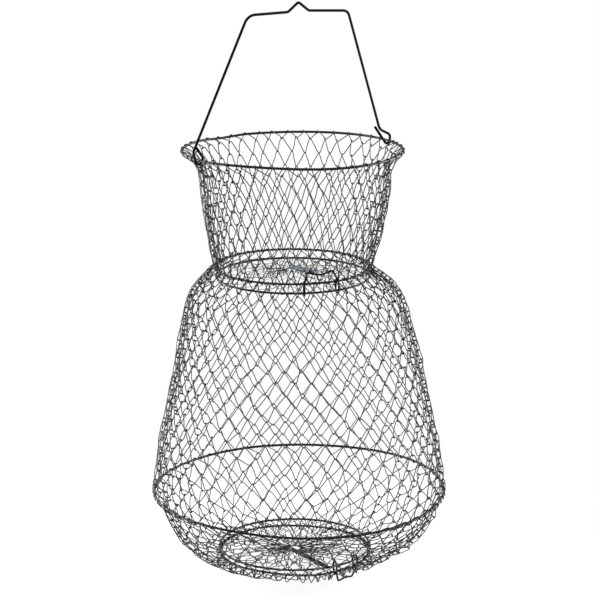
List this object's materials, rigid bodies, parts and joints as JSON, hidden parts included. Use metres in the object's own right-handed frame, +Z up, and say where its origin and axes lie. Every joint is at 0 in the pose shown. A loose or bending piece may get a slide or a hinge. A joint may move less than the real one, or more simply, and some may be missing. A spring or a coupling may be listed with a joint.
{
  "type": "wire fish basket",
  "caption": "Collapsible wire fish basket: bail handle, flared collar, wide net body on hoops, and sprung trap doors at the neck and the bottom.",
  "frame": {"origin": "underside of the handle's peak, where a hook, a line or a hand carries the basket", "axes": "+Z up along the hanging basket, +X to the right and +Y away from the viewer, as in the picture"},
  "size_m": [0.3341, 0.334, 0.6353],
  "materials": {
    "black_wire": "semi-gloss black",
    "net_wire": "satin black",
    "spring_wire": "zinc plated, slightly blue"
  },
  "bodies": {
    "handle": {"handle": "black_wire"},
    "collar": {"top_ring": "black_wire", "collar_row_01": "net_wire", "collar_row_02": "net_wire", "collar_row_03": "net_wire", "collar_row_04": "net_wire", "collar_row_05": "net_wire", "collar_row_06": "net_wire", "collar_row_07": "net_wire", "collar_row_08": "net_wire", "collar_row_09": "net_wire"},
    "neck": {"neck_ring": "black_wire", "top_door_bracket": "black_wire", "top_door_spring": "spring_wire", "body_row_01": "net_wire", "body_row_02": "net_wire", "body_row_03": "net_wire", "body_row_04": "net_wire", "body_row_05": "net_wire", "body_row_06": "net_wire", "body_row_07": "net_wire", "body_row_08": "net_wire", "body_row_09": "net_wire", "body_row_10": "net_wire", "body_row_11": "net_wire", "body_row_12": "net_wire", "body_row_13": "net_wire", "body_row_14": "net_wire", "body_row_15": "net_wire", "body_row_16": "net_wire", "body_row_17": "net_wire", "body_row_18": "net_wire", "body_row_19": "net_wire", "body_row_20": "net_wire"},
    "big": {"big_ring": "black_wire", "bowl_row_01": "net_wire", "bowl_row_02": "net_wire", "bowl_row_03": "net_wire", "bowl_row_04": "net_wire", "bowl_row_05": "net_wire", "bowl_row_06": "net_wire", "bowl_row_07": "net_wire", "bowl_row_08": "net_wire"},
    "bottom": {"bottom_ring": "black_wire", "bottom_door_bracket": "black_wire", "bottom_door_spring": "spring_wire", "hem_row_01": "net_wire"},
    "top_door": {"top_door_ring": "black_wire", "top_door_net": "net_wire"},
    "bottom_door": {"bottom_door_ring": "black_wire", "bottom_door_net": "net_wire"}
  },
  "joints": [
    {"name": "handle_fold", "type": "hinge", "parent": "handle", "child": "collar", "pos_m": [0, 0, -0.16205], "axis": [0.8526, 0.5225, 0], "range_deg": [-60, 60]},
    {"name": "collar_collapse", "type": "slide", "parent": "collar", "child": "neck", "axis": [0, 0, -1], "range_m": [-0.11, 0], "deforming": ["collar_row_01", "collar_row_02", "collar_row_03", "collar_row_04", "collar_row_05", "collar_row_06", "collar_row_07", "collar_row_08", "collar_row_09"]},
    {"name": "body_collapse", "type": "slide", "parent": "neck", "child": "big", "axis": [0, 0, -1], "range_m": [-0.22, 0], "deforming": ["body_row_01", "body_row_02", "body_row_03", "body_row_04", "body_row_05", "body_row_06", "body_row_07", "body_row_08", "body_row_09", "body_row_10", "body_row_11", "body_row_12", "body_row_13", "body_row_14", "body_row_15", "body_row_16", "body_row_17", "body_row_18", "body_row_19", "body_row_20"]},
    {"name": "bowl_collapse", "type": "slide", "parent": "big", "child": "bottom", "axis": [0, 0, -1], "range_m": [-0.06, 0], "deforming": ["bowl_row_01", "bowl_row_02", "bowl_row_03", "bowl_row_04", "bowl_row_05", "bowl_row_06", "bowl_row_07", "bowl_row_08"]},
    {"name": "top_door_hinge", "type": "hinge", "parent": "neck", "child": "top_door", "pos_m": [0.0269, -0.07226, -0.2996], "axis": [-0.9135, -0.4067, 0], "range_deg": [0, 65], "stiffness_Nm_per_rad": 0.06, "springref_deg": -51.57, "deforming": ["top_door_spring"]},
    {"name": "bottom_door_hinge", "type": "hinge", "parent": "bottom", "child": "bottom_door", "pos_m": [0.04707, -0.06113, -0.6134], "axis": [0.7771, 0.6293, 0], "range_deg": [0, 65], "stiffness_Nm_per_rad": 0.06, "springref_deg": -51.57, "deforming": ["bottom_door_spring"]}
  ]
}
